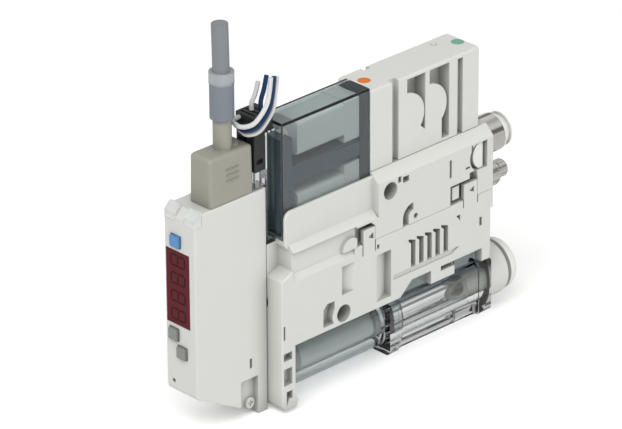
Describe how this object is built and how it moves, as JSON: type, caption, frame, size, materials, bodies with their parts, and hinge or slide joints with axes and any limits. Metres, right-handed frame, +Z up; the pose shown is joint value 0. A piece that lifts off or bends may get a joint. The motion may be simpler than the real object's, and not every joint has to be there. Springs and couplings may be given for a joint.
{
  "type": "vacuum ejector",
  "caption": "Slim in-line vacuum ejector with digital pressure switch, twin pilot valve, clear suction filter and rear tube ports.",
  "frame": {"origin": "centre of the lower fixing hole, at the middle of the body's thickness", "axes": "+X from the switch's face to the ports along the body's longest side, +Y across the body along the fixing holes, +Z up"},
  "size_m": [0.1019, 0.0154, 0.0987],
  "materials": {
    "white_resin": "satin moulded PBT",
    "valve_resin": "satin moulded resin",
    "smoked_clear": "smoked transparent",
    "smoked_case": "smoked transparent",
    "dark_resin": "matt moulded",
    "coil_resin": "matt moulded",
    "cream_resin": "satin moulded",
    "plug_black": "satin moulded",
    "wire_white": "extruded insulation",
    "wire_navy": "extruded insulation",
    "display_red": "polished window",
    "key_blue": "satin moulded",
    "key_grey": "satin moulded",
    "light_guide": "milky transparent",
    "board_green": "coated laminate",
    "boot_grey": "matt soft resin",
    "sleeve_grey": "shrink sleeve",
    "sleeve_clear": "translucent tube",
    "cable_sheath": "extruded sheath",
    "seal_black": "moulded seal",
    "filter_white": "sintered fibre",
    "override_orange": "satin moulded",
    "override_green": "satin moulded",
    "steel_zinc": "zinc plated",
    "nickel_brass": "nickel plated brass",
    "brass": "machined",
    "spool_metal": "ground"
  },
  "bodies": {
    "ejector": {"ejector_housing": "white_resin", "ejector_end_plug": "dark_resin", "nozzle": "brass", "diffuser": "cream_resin", "silencer": "filter_white", "manifold_body": "white_resin", "fitting_clip": "cream_resin", "valve_body": "valve_resin", "valve_gasket": "seal_black", "pilot_cover": "smoked_clear", "pilot_adapter": "dark_resin", "pilot_frame": "dark_resin", "supply_coil": "coil_resin", "release_coil": "coil_resin", "supply_pilot_body": "cream_resin", "release_pilot_body": "cream_resin", "supply_plug": "plug_black", "release_plug": "plug_black", "supply_lead_white": "wire_white", "supply_lead_navy": "wire_navy", "release_lead_white": "wire_white", "upper_lead_white": "wire_white", "upper_lead_navy": "wire_navy", "switch_housing": "white_resin", "switch_back_plate": "white_resin", "switch_port_seal": "seal_black", "switch_display": "display_red", "near_indicator_lens": "light_guide", "far_indicator_lens": "light_guide", "switch_circuit_board": "board_green", "pressure_sensor": "dark_resin", "switch_screw": "steel_zinc", "connector_boot": "boot_grey", "cable_sleeve": "sleeve_grey", "clear_sleeve": "sleeve_clear", "switch_cable": "cable_sheath", "filter_case": "smoked_case", "case_o_ring": "seal_black", "port_case": "smoked_case", "filter_element": "filter_white", "filter_cap": "cream_resin", "filter_stop": "cream_resin", "supply_fitting": "nickel_brass", "supply_guide_ring": "cream_resin", "vacuum_fitting": "white_resin", "needle_bush": "brass", "needle_lock_nut": "nickel_brass"},
    "set_button_part": {"set_button": "key_blue"},
    "up_button_part": {"up_button": "key_grey"},
    "down_button_part": {"down_button": "key_grey"},
    "supply_override_part": {"supply_override": "override_orange"},
    "release_override_part": {"release_override": "override_green"},
    "supply_release_bush_part": {"supply_release_bush": "cream_resin"},
    "vacuum_release_bush_part": {"vacuum_release_bush": "cream_resin"},
    "supply_spool_part": {"supply_spool": "spool_metal"},
    "release_spool_part": {"release_spool": "spool_metal"},
    "check_valve_part": {"check_valve": "seal_black"},
    "release_needle_part": {"release_needle": "nickel_brass"}
  },
  "joints": [
    {"name": "set_button_press", "type": "slide", "parent": "ejector", "child": "set_button_part", "axis": [1, 0, 0], "range_m": [0, 0.00035], "stiffness_N_per_m": 800, "springref_m": -0.0004},
    {"name": "up_button_press", "type": "slide", "parent": "ejector", "child": "up_button_part", "axis": [1, 0, 0], "range_m": [0, 0.00035], "stiffness_N_per_m": 800, "springref_m": -0.0004},
    {"name": "down_button_press", "type": "slide", "parent": "ejector", "child": "down_button_part", "axis": [1, 0, 0], "range_m": [0, 0.00035], "stiffness_N_per_m": 800, "springref_m": -0.0004},
    {"name": "supply_override_press", "type": "slide", "parent": "ejector", "child": "supply_override_part", "axis": [0, 0, -1], "range_m": [0, 0.0006], "stiffness_N_per_m": 900, "springref_m": -0.0005},
    {"name": "release_override_press", "type": "slide", "parent": "ejector", "child": "release_override_part", "axis": [0, 0, -1], "range_m": [0, 0.0006], "stiffness_N_per_m": 900, "springref_m": -0.0005},
    {"name": "supply_bush_push", "type": "slide", "parent": "ejector", "child": "supply_release_bush_part", "axis": [-1, 0, 0], "range_m": [0, 0.0008], "stiffness_N_per_m": 1500, "springref_m": -0.0005},
    {"name": "vacuum_bush_push", "type": "slide", "parent": "ejector", "child": "vacuum_release_bush_part", "axis": [-1, 0, 0], "range_m": [0, 0.0008], "stiffness_N_per_m": 1500, "springref_m": -0.0005},
    {"name": "supply_spool_shift", "type": "slide", "parent": "ejector", "child": "supply_spool_part", "axis": [1, 0, 0], "range_m": [0, 0.0012], "stiffness_N_per_m": 400, "springref_m": -0.001},
    {"name": "release_spool_shift", "type": "slide", "parent": "ejector", "child": "release_spool_part", "axis": [1, 0, 0], "range_m": [0, 0.0012], "stiffness_N_per_m": 400, "springref_m": -0.001},
    {"name": "check_valve_lift", "type": "slide", "parent": "ejector", "child": "check_valve_part", "axis": [0, 0, 1], "range_m": [0, 0.0008], "stiffness_N_per_m": 60, "springref_m": -0.0005},
    {"name": "release_needle_turn", "type": "hinge", "parent": "ejector", "child": "release_needle_part", "pos_m": [0.0575, 0, 0.0144], "axis": [1, 0, 0], "range_deg": [0, 1440]}
  ]
}
